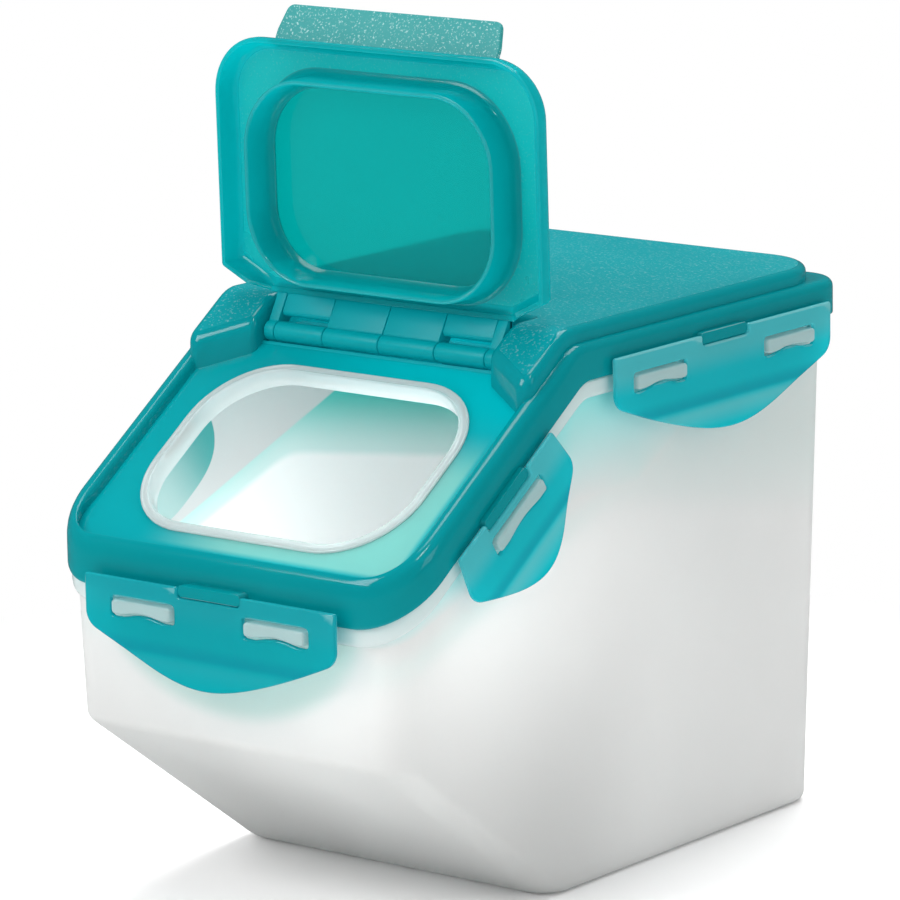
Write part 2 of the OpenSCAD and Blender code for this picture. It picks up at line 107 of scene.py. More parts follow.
def roundedLoop(corners, radii, arcSteps=10, edgeSteps=None):
    # closed outline as complex numbers: each corner becomes an arc, each edge is split evenly
    c = np.array([complex(*p) for p in corners])
    n = len(c)
    edgeSteps = edgeSteps or [1] * n
    arcs = []
    for i in range(n):
        into = c[i] - c[i - 1]
        away = c[(i + 1) % n] - c[i]
        into, away = into / abs(into), away / abs(away)
        turn = np.angle(away / into)
        if radii[i] == 0:
            arcs.append(c[i:i + 1])
            continue
        cut = radii[i] * abs(math.tan(turn / 2))
        start = c[i] - into * cut
        centre = start + 1j * into * radii[i] * np.sign(turn)
        steps = arcSteps if abs(turn) > 0.5 else max(arcSteps // 2, 2)  # fewer where it turns under 29 degrees
        arcs.append(centre + (start - centre) * np.exp(1j * turn * np.linspace(0, 1, steps + 1)))
    out = []
    for i in range(n):
        a, b = arcs[i][-1], arcs[(i + 1) % n][0]
        out += [arcs[i], a + (b - a) * np.arange(1, edgeSteps[i]) / edgeSteps[i]]
    return np.concatenate(out)


def outward(loop):
    # unit normals of an anticlockwise outline, averaged from the two edges at each point
    edge = np.roll(loop, -1) - loop
    normal = -1j * edge / np.abs(edge)
    both = normal + np.roll(normal, 1)
    return both / np.abs(both)


def insetRows(loop, insets):
    # the outline drawn in by each inset: one row of points per inset
    return loop[None, :] - np.asarray(insets, float).reshape(len(insets), -1) * outward(loop)[None, :]


def edgeProfile(low, high, roundLow, roundHigh):
    # insets and heights up the side of a plate: quarter circle, straight wall, quarter circle
    q = np.linspace(0, math.pi / 2, 6)
    inset = np.concatenate([roundLow * (1 - np.sin(q)), roundHigh * (1 - np.cos(q))])
    t = np.concatenate([low + roundLow * (1 - np.cos(q)), high - roundHigh * (1 - np.sin(q))])
    return inset, t


def rectCorners(hx, hy, cx=0.0, cy=0.0):
    # anticlockwise corners of a rectangle of half sizes hx and hy about its centre
    return [(cx + hx, cy - hy), (cx + hx, cy + hy), (cx - hx, cy + hy), (cx - hx, cy - hy)]


def ringPart(points, closed=False, skin=0):
    # rows of a closed outline joined by quads; closed also joins the last row to the first
    k, n = points.shape[:2]
    rows = np.arange(k if closed else k - 1)[:, None]
    cols = np.arange(n)[None, :]
    nextRow, nextCol = (rows + 1) % k, (cols + 1) % n
    quads = np.stack([rows * n + cols, rows * n + nextCol, nextRow * n + nextCol, nextRow * n + cols], -1)
    return points.reshape(-1, 3), quads.reshape(-1, 4).tolist(), skin


def sectionPart(loop, out, t, lift):
    # a closed section carried round an outline: each point stands out from it and at its own height
    rows = insetRows(loop, -np.asarray(out, float))
    return ringPart(lift(rows.real, rows.imag, np.asarray(t, float)[:, None] + 0 * rows.real), closed=True)


def insideLoops(p, loops):
    # even-odd test of points against closed outlines
    inside = np.zeros(len(p), bool)
    for loop in loops:
        a, b = loop[None, :], np.roll(loop, -1)[None, :]
        y = p.imag[:, None]
        crosses = (a.imag > y) != (b.imag > y)
        with np.errstate(divide="ignore", invalid="ignore"):
            x = a.real + (y - a.imag) * (b.real - a.real) / (b.imag - a.imag)
        inside ^= (np.sum(crosses & (p.real[:, None] < x), 1) % 2).astype(bool)
    return inside


def fillPart(loops, t, lift, spacing=4.0, skin=0):
    # triangles over an outline with holes, on a grid fine enough to follow the lifted surface
    outer = loops[0]
    gx = np.arange(outer.real.min() + spacing / 2, outer.real.max(), spacing)
    gy = np.arange(outer.imag.min() + spacing / 2, outer.imag.max(), spacing)
    grid = (gx[None, :] + 1j * gy[:, None]).ravel()
    rim = np.concatenate(loops)
    if len(grid):
        # in 40 lots, which keeps the table of distances small
        near = np.concatenate([np.abs(g[:, None] - rim[None, :]).min(1) for g in np.array_split(grid, 40)])
        grid = grid[near > spacing * 0.45]
    grid = grid[insideLoops(grid, loops)]
    points = np.concatenate([rim, grid])
    edges, start = [], 0
    for loop in loops:
        m = len(loop)
        edges += [(start + i, start + (i + 1) % m) for i in range(m)]
        start += m
    coords, _, faces, *_ = delaunay_2d_cdt([Vector((p.real, p.imag)) for p in points], edges, [], 0, 1e-5)
    flat = np.array([complex(*c) for c in coords])
    tris = np.array(faces)
    tris = tris[insideLoops(flat[tris].mean(1), loops)]
    return lift(flat.real, flat.imag, np.full(len(flat), float(t))), tris.tolist(), skin


def plateParts(loop, low, high, roundLow, roundHigh, lift, holes=(), spacing=4.0, skins=(0, 0)):
    # a plate with rounded edges: its side, the sides of its holes, and both faces
    inset, t = edgeProfile(low, high, roundLow, roundHigh)
    sides = [insetRows(loop, inset)] + [insetRows(h, -inset) for h in holes]
    parts = [ringPart(lift(r.real, r.imag, t[:, None] + 0 * r.real), skin=skins[0]) for r in sides]
    parts.append(fillPart([r[0] for r in sides], low, lift, spacing, skins[0]))
    parts.append(fillPart([r[-1] for r in sides], high, lift, spacing, skins[1]))
    return parts


def addPiece(name, body, node, materials, parts, sharp=38):
    verts, faces, skins, start = [], [], [], 0
    for points, quads, skin in parts:
        verts.append(points)
        faces += [[i + start for i in f] for f in quads]
        skins += [skin] * len(quads)
        start += len(points)
    mesh = bpy.data.meshes.new(name)
    mesh.from_pydata((np.concatenate(verts) * 0.001).tolist(), [], faces)
    mesh.polygons.foreach_set("material_index", skins)
    for material in materials:
        mesh.materials.append(material)
    bm = bmesh.new()
    bm.from_mesh(mesh)
    bmesh.ops.remove_doubles(bm, verts=bm.verts, dist=2e-6)  # metres: closes seams, keeps the smallest round
    bmesh.ops.dissolve_degenerate(bm, edges=bm.edges, dist=1e-7)
    bmesh.ops.recalc_face_normals(bm, faces=bm.faces)
    openEdges = sum(1 for e in bm.edges if len(e.link_faces) != 2)
    bm.to_mesh(mesh)
    bm.free()
    mesh.polygons.foreach_set("use_smooth", [True] * len(mesh.polygons))
    mesh.set_sharp_from_angle(angle=math.radians(sharp))
    piece = bpy.data.objects.new(name, mesh)
    scene.collection.objects.link(piece)
    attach(piece, body)
    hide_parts(node)
    if openEdges:
        print("  ", name, "has", openEdges, "edges without two faces")
    return piece


def linear(code):
    # hex sRGB code to linear light
    c = np.array([int(code[i:i + 2], 16) for i in (1, 3, 5)]) / 255
    c = np.where(c <= 0.04045, c / 12.92, ((c + 0.055) / 1.055) ** 2.4)
    return (*c.tolist(), 1.0)


def addNode(tree, kind, settings=None, inputs=None):
    # one node: its own settings, then each input as a value or as the output that feeds it
    node = tree.nodes.new(kind)
    for key, value in (settings or {}).items():
        setattr(node, key, value)
    for key, value in (inputs or {}).items():
        if isinstance(value, bpy.types.NodeSocket):
            tree.links.new(value, node.inputs[key])
        else:
            node.inputs[key].default_value = value
    return node


def newMaterial(name):
    material = bpy.data.materials.new(name)
    material.use_nodes = True
    material.node_tree.nodes.clear()
    return material, material.node_tree


# what the words of a formula stand for: a Math operation, or a node, its settings, inputs in order and output
rangeInputs = ("Value", "From Min", "From Max", "To Min", "To Max")
formulaWords = {
    "+": "ADD", "-": "SUBTRACT", "*": "MULTIPLY", "/": "DIVIDE", "^": "POWER", "abs": "ABSOLUTE",
    "max": "MAXIMUM", "min": "MINIMUM", "smoothMin": "SMOOTH_MIN",
    "line": ("ShaderNodeMapRange", {}, rangeInputs, 0),
    "ramp": ("ShaderNodeMapRange", {"interpolation_type": "SMOOTHSTEP"}, rangeInputs, 0),
    "blend": ("ShaderNodeMix", {"data_type": "RGBA"}, (0, 6, 7), 2),
    "mix": ("ShaderNodeMixShader", {}, (0, 1, 2), 0),
}


def follow(tree, known, value):
    # a formula is (word, inputs...), nested as deep as needed; a text is an earlier result or a colour
    if isinstance(value, str):
        return known[value] if value in known else linear(value)
    if not isinstance(value, tuple):
        return value
    word, *inputs = value
    entry = formulaWords[word]
    if isinstance(entry, str):
        entry = ("ShaderNodeMath", {"operation": entry}, (0, 1, 2), 0)
    kind, settings, keys, output = entry
    inputs = {key: follow(tree, known, part) for key, part in zip(keys, inputs)}
    return addNode(tree, kind, settings, inputs).outputs[output]


def followAll(tree, known, formulas):
    # works the named formulas out in order, so that a later one can use an earlier result
    for name, formula in formulas:
        known[name] = follow(tree, known, formula)
    return known


# Painted light, in metres in the object's own coordinates: the body colour comes in and goes out.
edgeZ, bendAt = edgeHeight / 1000, bendY / 1000

lidGlow = [
    # light that has come down through the teal lid tints the wall close below its skirt, less far ahead of
    # and behind the bend
    ("level", ("-", edgeZ, "z")),
    ("sloped", ("+", "level", ("*", ("-", "y", bendAt), sinA / cosA))),
    ("ahead", ("max", ("-", -0.035, "y"), 0.0)),
    ("behind", ("max", ("-", "y", 0.008), 0.0)),
    ("reach", ("-", 0.042, ("+", ("*", "ahead", 0.35), ("*", "behind", 0.6)))),
    ("depth", ("/", ("min", "level", "sloped"), ("max", "reach", 0.009))),
    ("tinted", ("max", ("min", ("-", 1.0, "depth"), 1.0), 0.0)),
    # a soft painted shadow, tinted by light through the latch, lies below the front latch
    ("across", ("^", ("abs", ("/", "x", 0.06)), 2.0)),
    ("down", ("^", ("abs", ("/", ("-", frontEdge / 1000, "z"), 0.041)), 2.0)),
    ("patch", ("*", ("ramp", ("+", "across", "down"), 1.1, 0.75, 0.0, 0.4), ("ramp", "y", -0.118, -0.124))),
    ("body", ("blend", "patch", "body", "#8CCDC0")),
    # the front is greyer towards the bottom, away from the light that comes in at the top
    ("foot", ("*", ("ramp", "z", 0.125, 0.015, 0.0, 0.5), ("ramp", "y", 0.03, -0.05))),
    ("body", ("blend", "foot", "body", "#B0B0AF")),
    ("body", ("blend", ("*", "tinted", 0.75), "body", "#3CF1EE")),
]

slopePlace = [
    # s runs down the slope from the bend, t stands off it
    ("dy", ("-", "y", bendAt)),
    ("dz", ("-", "z", edgeZ)),
    ("s", ("+", ("*", "dy", -cosA), ("*", "dz", -sinA))),
    ("t", ("+", ("*", "dy", -sinA), ("*", "dz", cosA))),
]

paintedInsideLight = slopePlace + [
    # inside the side walls, light through the mouth is plain below two lines and teal through the lid above
    ("side", ("ramp", ("abs", "x"), 0.058, 0.064)),
    ("falling", ("-", 0.1338, ("*", "y", 0.19))),
    ("rising", ("+", 0.137, ("*", "y", 0.36))),
    ("above", ("-", "z", ("smoothMin", "falling", "rising", 0.008))),
    ("tinted", ("+", ("ramp", "above", -0.001, 0.003, 0.0, 0.3), ("ramp", "above", 0.0, 0.028, 0.0, 0.7))),
    ("body", ("blend", ("*", "tinted", "side"), "body", "#34C8BE")),
    # towards the front the wall is untinted and greyer: painted shade, where neither light reaches
    ("frontLine", ("-", "z", ("+", 0.1454, ("*", "y", 0.368)))),
    ("plain", ("*", ("ramp", "frontLine", 0.0, 0.0012), "side")),
    ("body", ("blend", "plain", "body", "#D6D6D6")),
    # and the short latch, seen through the wall, is painted on as a patch that pales down the slope
    ("across", ("^", ("abs", ("/", ("-", "s", 0.056), 0.026)), 3.0)),
    ("down", ("^", ("abs", ("/", ("+", "t", 0.002), 0.024)), 3.0)),
    ("patch", ("ramp", ("+", "across", "down"), 1.0, 0.94)),
    ("latchTint", ("blend", ("ramp", "s", 0.035, 0.068), "#4CA8A6", "#B4D0CE")),
    ("body", ("blend", ("*", "patch", "side"), "body", "latchTint")),
]

deckGlow = slopePlace + [
    # the deck is paler where the bright inside of the bin lies behind it, at its front and right
    ("down", ("^", ("/", ("max", ("-", "s", 0.066), 0.0), 0.032), 2.5)),
    ("across", ("^", ("/", ("max", ("-", "x", 0.024), 0.0), 0.035), 2.5)),
    ("fade", ("*", ("ramp", "s", 0.036, 0.062), ("ramp", "x", -0.045, 0.0))),
    ("inside", ("*", ("ramp", "s", 0.1085, 0.1055), ("ramp", "x", 0.0705, 0.0675))),
    ("pale", ("*", ("*", ("ramp", ("+", "down", "across"), 0.9, 1.12), "fade"), "inside")),
    # and painted light: a lighter teal at its rear right
    ("behind", ("*", ("ramp", "s", 0.05, 0.015), ("ramp", "x", -0.05, 0.03))),
    ("body", ("blend", "behind", "body", "#00C0C8")),
    ("body", ("blend", ("*", "pale", 0.9), "body", "#8FC6C0")),
]

latchShade = [
    # painted light and shade: side latches are painted brighter, as more light falls on them; their strip beside the
    # hinge and the fold of their pull are painted paler, a painted sheen of light, and every latch has painted shade
    # in the crease above the fold; "fall" is the distance in mm below the hinge, and "foldFall" that below the fold
    ("sides", ("ramp", ("abs", "x"), 0.06, 0.07, 0.12, 1.0)),
    ("body", ("blend", ("*", "sides", 0.6), "body", "#18E4EE")),
    ("strip", ("*", ("ramp", "fall", 14.0, 5.0, 0.0, 0.3), "sides")),
    ("band", ("*", ("ramp", "foldFall", -1.5, 1.5), ("ramp", "foldFall", 8.0, 1.5))),
    ("crease", ("*", ("ramp", "foldFall", -7.0, -2.0), ("ramp", "foldFall", 0.0, -2.0))),
    ("body", ("blend", ("*", "crease", 0.45), "body", "#009BB0")),
    ("pale", ("max", "strip", ("*", ("*", "band", "sides"), 0.4))),
    ("body", ("blend", "pale", "body", "#A6E2E2")),
]

sheet = {
    "ior": 1.49,  # polypropylene
    "driftScale": 22.0,  # clouds of pigment to the metre: each is about 45 mm across
    "cloud": 0.35,  # how far a cloud goes to the lighter tint
    "etchDepth": 0.2,  # mm
    "fleck": "#D8F4F2",
    "edgeLight": "#C8F4F2",
}


def polypropylene(name, colour, light, roughness=0.1, clear=0.45, glow=0.3, grain=0.04, grainSize=1.5,
                  specks=0.0, paint=(), reads=(), passing=0.7, shine=0.4, edges=0.0):
    # moulded sheet: a pigmented body that passes part of the light straight (clear) and part scattered (glow);
    # grain is the strength of the mould's etching and grainSize its size in mm
    material, tree = newMaterial(name)
    where = addNode(tree, "ShaderNodeTexCoord").outputs["Object"]
    axes = addNode(tree, "ShaderNodeSeparateXYZ", inputs={0: where}).outputs
    drift = addNode(tree, "ShaderNodeTexNoise", inputs={"Vector": where, "Scale": sheet["driftScale"], "Detail": 3.0})
    etched = addNode(tree, "ShaderNodeTexNoise", inputs={
        "Vector": where, "Scale": 1000 / grainSize, "Detail": 2.0, "Roughness": 0.6})
    known = {"x": axes[0], "y": axes[1], "z": axes[2], "drift": drift.outputs[0], "etched": etched.outputs[0]}
    for attribute in reads:
        known[attribute] = addNode(tree, "ShaderNodeAttribute", {"attribute_name": attribute}).outputs["Fac"]
    formulas = [
        ("body", ("blend", ("line", "drift", 0.35, 0.75, 0.0, sheet["cloud"]), colour, light)),
        ("body", ("blend", ("ramp", "etched", 0.56, 0.7, 0.0, specks), "body", sheet["fleck"])),
        ("dull", ("line", "drift", 0.3, 0.7, roughness * 0.85, roughness * 1.2)),
        *paint,
    ]
    if edges:
        # light runs along inside the sheet and comes out at its edges, which look paler
        known["convex"] = addNode(tree, "ShaderNodeNewGeometry").outputs["Pointiness"]
        formulas.append(("body", ("blend", ("ramp", "convex", 0.53, 0.62, 0.0, edges), "body", sheet["edgeLight"])))
    followAll(tree, known, formulas)
    bump = addNode(tree, "ShaderNodeBump", inputs={
        "Height": etched.outputs[0], "Strength": grain, "Distance": sheet["etchDepth"] / 1000})
    gloss = addNode(tree, "ShaderNodeBsdfPrincipled", inputs={
        "Base Color": known["body"], "Roughness": known["dull"], "Normal": bump.outputs[0], "IOR": sheet["ior"],
        "Specular IOR Level": shine, "Transmission Weight": clear})
    scatter = addNode(tree, "ShaderNodeBsdfTranslucent", inputs={"Color": known["body"]})
    surface = follow(tree, {}, ("mix", glow, gloss.outputs[0], scatter.outputs[0]))
    if passing:
        # lamp light goes on through the sheet and takes its colour, so that what lies behind it isn't dark
        through = addNode(tree, "ShaderNodeBsdfTransparent", inputs={"Color": known["body"]})
        shadow = addNode(tree, "ShaderNodeLightPath").outputs["Is Shadow Ray"]
        surface = follow(tree, {}, ("mix", ("*", shadow, passing), surface, through.outputs[0]))
    addNode(tree, "ShaderNodeOutputMaterial", inputs={"Surface": surface})
    return material


# Polypropylene with a clear teal pigment, injection moulded. Faces from a polished part of the mould are glossy.
tealGloss = polypropylene("polypropyleneTealGloss", "#00A3AB", "#06AEB3", roughness=0.09, clear=0.25, glow=0.25,
                          edges=0.4)
# The latches are thinner, so more light comes through them.
tealLatch = polypropylene("polypropyleneTealLatch", "#00B6C0", "#10C3C8", roughness=0.09, clear=0.5, glow=0.2,
                          paint=latchShade, reads=("fall", "foldFall"), edges=0.4)
tealDeck = polypropylene("polypropyleneTealDeck", "#00ACB4", "#0CB6BC", clear=0.3, glow=0.25, paint=deckGlow)
# Spark-etched faces are matt with bright specks. The real grain, about 0.3 mm, is too fine to show, so it is
# drawn about 1 mm coarse.
tealGrain = polypropylene("polypropyleneTealGrained", "#009CA4", "#04A8AE", roughness=0.45, clear=0.15, glow=0.2,
                          grain=1.0, grainSize=1.1, specks=0.2, shine=0.03)
tealTab = polypropylene("polypropyleneTealTab", "#2FA6A6", "#62BCBA", roughness=0.4, clear=0.3, glow=0.2,
                        grain=1.0, grainSize=0.9, specks=0.8)
# The flip lid's window is polished on both faces and almost clear; the flange round it is lightly frosted.
tealClear = polypropylene("polypropyleneTealClear", "#00B0AD", "#04B5B1", roughness=0.06, clear=0.85, glow=0.1,
                          grain=0.02, grainSize=2.0)
tealFrost = polypropylene("polypropyleneTealFrosted", "#06C2C4", "#2ECCCC", roughness=0.3, glow=0.35,
                          grain=0.35, grainSize=0.8, specks=0.06)
tealWall = polypropylene("polypropyleneTealWall", "#00BDC2", "#14C7CA", glow=0.4, edges=0.3)
# The mould's slides leave the hinge dull.
tealHinge = polypropylene("polypropyleneTealHinge", "#00BEC6", "#04C8CE", roughness=0.3, clear=0.3, shine=0.03)
# Unpigmented (natural) polypropylene, injection moulded: milky, with a finely blasted face that scatters light
# softly outside and is smoother inside. The blasting, about 0.1 mm, is drawn coarser so that it shows.
binFrost = polypropylene("polypropyleneNatural", "#E7E7E6", "#EFEFEE", roughness=0.45, clear=0.0,
                         grain=0.12, grainSize=0.8, paint=lidGlow, passing=0)
# the inside's colour carries painted light through the mouth and the lid, painted shade, and a painted image of the
# latch
binInside = polypropylene("polypropyleneNaturalInside", "#FAFAFA", "#FFFFFF", roughness=0.35, clear=0.0,
                          grain=0.05, grainSize=0.8, paint=paintedInsideLight, passing=0)
# The collar and lugs come from polished faces, and the lugs are painted a little teal, for the light that reaches them
# through the latches.
binGloss = polypropylene("polypropyleneNaturalGloss", "#F0F6F6", "#FBFDFD", roughness=0.08, clear=0.2,
                         grain=0.03, grainSize=2.0, passing=0)
lugGloss = polypropylene("polypropyleneNaturalLug", "#CFE8E8", "#E4F3F3", clear=0.4, grain=0.03,
                         grainSize=2.0, passing=0)
# Silicone rubber, compression moulded: soft and milky with an oily gloss. Its IOR, 1.41, is near the sheet's.
softSeal = polypropylene("siliconeClear", "#E4EBEB", "#F0F5F5", grain=0.03, grainSize=2.0, passing=0,
                         shine=0.6, edges=0.4)
print("materials made")

lidSizes = {
    "rim": 13.0,  # rim above the skirt's lower edge
    "rimWidth": 7.0,
    "rimFront": 3.1,
    "shoulder": 3.2,  # rounding of the skirt's top edge at the sides of the level half
    "shoulderSlope": 4.9,  # along the slope
    "shoulderFront": 6.0,  # and at the front
    "sheet": 1.9,
    "channel": 1.7,  # wall between the rim's inner face and the gasket's channel
    "foot": 7.6,  # underside of that wall
    "channelRoof": 11.0,
    "ledge": (75.0, 125.8),  # flat sheet under the panel: half width and rear end
    "ledgeStart": 14.0,  # its front end, behind the bend
    "deck": 9.3,  # top of the recessed deck
    "deckRear": -21.0,
    "panel": 18.7,  # top of the raised panel
    "panelInset": 3.6,
    "panelRound": 2.8,
    "panelRadius": 27.0,  # its rear corners
    "notchHalf": 52.5,  # the panel's notch for the hinge, between two shoulders
    "notchRear": 6.7,  # behind the bend
    "shoulderEnd": 9.0,  # the shoulders' ends, down the slope
    "shoulderTaper": 11.91,
}
planCorners = rectCorners(halfWidth, halfLength)
planRadii = [form["frontRadius"], form["rearRadius"], form["rearRadius"], form["frontRadius"]]
planLoop = roundedLoop(planCorners, planRadii, 14, [110, 30, 110, 30])
frontWeight = np.clip((-planLoop.imag - (halfLength - form["frontRadius"])) / form["frontRadius"], 0, 1)
frontWeight = frontWeight ** 2 * (3 - 2 * frontWeight)


def rimParts(z):
    # closed section carried round the plan: skirt, rounded shoulder, rim top, ridge and channel
    q = np.linspace(0, math.pi / 2, 9)
    p = np.linspace(0, math.pi / 2, 5)
    r, rs, rf = z["shoulder"], z["shoulderSlope"], z["shoulderFront"]
    w, f, top, roof, foot = z["rimWidth"], z["rimFront"], z["rim"], z["channelRoof"], z["foot"]
    fs = f - 0.45
    lip = [0.5, 0.15, 0, 0, 0]  # rounded lower edge, then the skirt's face
    lipT, lipFrontT = [0, 0.15, 0.5, 3, 6], [0, 0.15, 0.5, 2, 4]
    channel = [w - z["channel"], w - z["channel"], 2.0, 2.0, 1.8]  # up to the roof, across it and down the skirt
    channelT = [foot, roof, roof, 0.3, 0]
    side = np.concatenate([lip, r * (1 - np.cos(q)), [(r + w) / 2], w - 0.9 * (1 - np.sin(p)), [w, w], channel])
    sideT = np.concatenate([lipT, top - r * (1 - np.sin(q)), [top], top - 0.9 * (1 - np.cos(p)), [10.5, foot],
                            channelT])
    # along the slope the shoulder is wider and the inner foot runs out in an S
    slope = np.concatenate([lip, rs * (1 - np.cos(q)), [rs + 0.05], w + 0.9 - 2.8 * (1 - np.sin(p)),
                            [w + 1.0, w + 1.0], channel])
    slopeT = np.concatenate([lipT, top - rs * (1 - np.sin(q)), [top], top - 3.6 * (1 - np.cos(p)), [9.2, foot],
                             channelT])
    front = np.concatenate([lip, fs * (1 - np.cos(q)), [fs + 0.05], f - 0.35 * (1 - np.sin(p)), [f, f],
                            [f - 0.4, f - 0.4, 1.95, 1.9, 1.7]])
    frontT = np.concatenate([lipFrontT, top - rf * (1 - np.sin(q)), [top], top - 0.9 * (1 - np.cos(p)),
                             [10.5, foot], [foot, 10.6, 10.6, 0.3, 0]])
    onSlope = np.clip((bendY + 4 - planLoop.imag) / 16, 0, 1) ** 2
    t = sideT[:, None] + (slopeT - sideT)[:, None] * onSlope
    inset = side[:, None] + (slope - side)[:, None] * onSlope
    t = t + (frontT[:, None] - t) * frontWeight
    inset = inset + (front[:, None] - inset) * frontWeight
    rows = planLoop - inset * outward(planLoop)
    (half, rear), start = z["ledge"], bendY + z["ledgeStart"]
    ledge = roundedLoop([(half, start), (half, rear), (-half, rear), (-half, start)], [2, 10, 10, 2], 10, [30] * 4)
    return [ringPart(liftBent(rows.real, rows.imag, t), closed=True)] + \
        plateParts(ledge, roof + 0.1, top - 0.03, 0.1, 0.1, liftBent, spacing=6)


addPiece("lidRim", "container", "lid", [tealGloss], rimParts(lidSizes))


def panelLoop(z):
    # outline with a notch for the hinge; the shoulders beside it end down the slope, one corner behind the other
    edge, rear = halfWidth - z["panelInset"], halfLength - z["panelInset"]
    near = slopePlanY(z["shoulderEnd"], z["panel"])
    far = near - z["shoulderTaper"]
    half, back = z["notchHalf"], bendY + z["notchRear"]
    corners = [(edge, far), (edge, rear), (-edge, rear), (-edge, far), (-half, near), (-half, back),
               (half, back), (half, near)]
    return roundedLoop(corners, [4, z["panelRadius"], z["panelRadius"], 4, 3.6, 2.5, 2.5, 3.6], 14,
                       [90, 30, 90, 8, 10, 30, 10, 8])


addPiece("lidPanel", "container", "lid", [tealGloss, tealGrain],
         plateParts(panelLoop(lidSizes), lidSizes["foot"], lidSizes["panel"], 0.3, lidSizes["panelRound"], liftBent,
                    spacing=3.0, skins=(0, 1)))

mouth = {"centre": 60.2, "halfWidth": 56.2, "halfLength": 37.5, "radius": 27.0, "sealGap": 1.4}
hinge = {
    "s": 5.2,  # axis, down the slope from the bend
    "t": 11.0,  # and off it
    "barrel": 3.6,
    "slot": (52.3, 4.1),  # half size of the deck's opening below the barrels
    "pan": (6.0, 4.4, 54.0),  # trough under the barrels: outer and inner radius, half length
    "lidKnuckles": ((-46.85, -25.15), (25.15, 46.85)),
    "flipKnuckles": ((-51.5, -47.15), (-24.85, -0.15), (0.15, 24.85), (47.15, 51.5)),
    "aprons": ((-46.9, -25.1), (25.1, 46.9)),
}
hingeY = slopePlanY(hinge["s"], hinge["t"])
hingeZ = edgeHeight - hinge["s"] * sinA + hinge["t"] * cosA
barrelLoop = hinge["barrel"] * np.exp(2j * math.pi * np.arange(32) / 32)  # circle about the axis


def mouthLoop(grow):
    # the pouring mouth in the slope's plane, grown all round
    corners = rectCorners(mouth["halfWidth"] + grow, mouth["halfLength"] + grow, 0, mouth["centre"])
    return roundedLoop(corners, [mouth["radius"] + grow] * 4, 14, [12, 30, 12, 30])


def deckParts(z):
    # recessed deck: runs just into the ridge, with a hole for the seal and one for the hinge barrel
    edge, front = halfWidth - z["rimWidth"] + 0.8, halfLength - z["rimFront"] + 0.5
    corners = [(edge, -front), (edge, z["deckRear"]), (-edge, z["deckRear"]), (-edge, -front)]
    outer = roundedLoop(corners, [15.3, 2, 2, 15.3], 12, [60, 30, 60, 30])
    slot = roundedLoop(rectCorners(*hinge["slot"], 0, hinge["s"]), [0.6] * 4, 3, [2, 30, 2, 30])
    # from the slope's plane to plan, where down the slope is towards the front, so the order is turned round
    holes = [(loop.real + 1j * slopePlanY(loop.imag, z["deck"]))[::-1] for loop in (mouthLoop(mouth["sealGap"]), slot)]
    return plateParts(outer, z["deck"] - z["sheet"], z["deck"], 0.1, 0.1, liftBent, holes, spacing=2.5)


addPiece("lidDeck", "container", "lid", [tealDeck], deckParts(lidSizes))


def hingeLift(p, q, x):
    # profile in the slope's plane across the hinge axis, carried along the axis
    return liftSlope(x, hinge["s"] + p, hinge["t"] + q)


def lidHingeParts():
    # knuckles on posts, over a trough whose section is part of a ring
    parts = []
    for x0, x1 in hinge["lidKnuckles"]:
        parts += plateParts(barrelLoop, x0, x1, 0.4, 0.4, hingeLift, spacing=9)
        post = roundedLoop(rectCorners(1.6, 3.5, 0, -3.0), [0.3] * 4, 2)
        parts += plateParts(post, x0, x1, 0.2, 0.2, hingeLift, spacing=9)
    q = np.linspace(-math.pi * 0.9, -math.pi * 0.1, 20)
    outer, inner, half = hinge["pan"]
    pan = np.concatenate([outer * np.exp(1j * q), inner * np.exp(1j * q[::-1])])
    return parts + plateParts(pan, -half, half, 0.05, 0.05, hingeLift, spacing=9)


addPiece("lidHinge", "container", "lid", [tealHinge], lidHingeParts())
print("lid made")

sealProfile = {
    # outward from the mouth's opening, and height above the skirt's lower edge: up the inner face, over the
    # raised lip, the flange and its edge, back under the deck and down the outer face
    "out": [0.0, 0.0, 0.0, 0.15, 0.6, 1.05, 1.25, 1.45, 2.2, 2.9, 3.15, 3.5, 3.7, 3.7, 3.5,
            1.4, 1.4, 2.8, 2.8, 1.3, 1.2, 1.0, 0.2],
    "t": [3.6, 6.5, 9.9, 10.4, 10.65, 10.4, 10.1, 10.0, 10.0, 10.05, 10.3, 10.25, 9.95, 9.5, 9.32,
          9.32, 7.35, 7.3, 6.1, 5.9, 3.5, 3.25, 3.25],
}
addPiece("spoutSeal", "container", "spout_seal", [softSeal],
         [sectionPart(mouthLoop(0), sealProfile["out"], sealProfile["t"], liftSlope)], sharp=50)
print("seal made")

binSizes = {
    "inset": 4.5,  # from the lid's face to the wall
    "draft": math.tan(math.radians(1.4)),
    "crease": 62.9,  # height where the front turns in
    "undercut": math.radians(36.2),
    "foot": 3.6,  # rounding at the bottom
    "creaseBlend": 3.0,
    "wall": 2.0,
    "lip": 5.0,  # upper edge above the skirt's lower edge
    "corner": 12.0,
}


def binExtents(z, b):
    # half width, front and rear of the outer wall at height z; the front turns in below the crease
    half = halfWidth - b["inset"] - (edgeHeight - z) * b["draft"]
    rear = halfLength - b["inset"] - (edgeHeight - z) * b["draft"]
    wall = b["inset"] - halfLength + (frontEdge - z) * b["draft"]
    atCrease = b["inset"] - halfLength + (frontEdge - b["crease"]) * b["draft"]
    under = atCrease + (b["crease"] - z) / math.tan(b["undercut"])
    return half, -smoothMin(-wall, -under, b["creaseBlend"]), rear


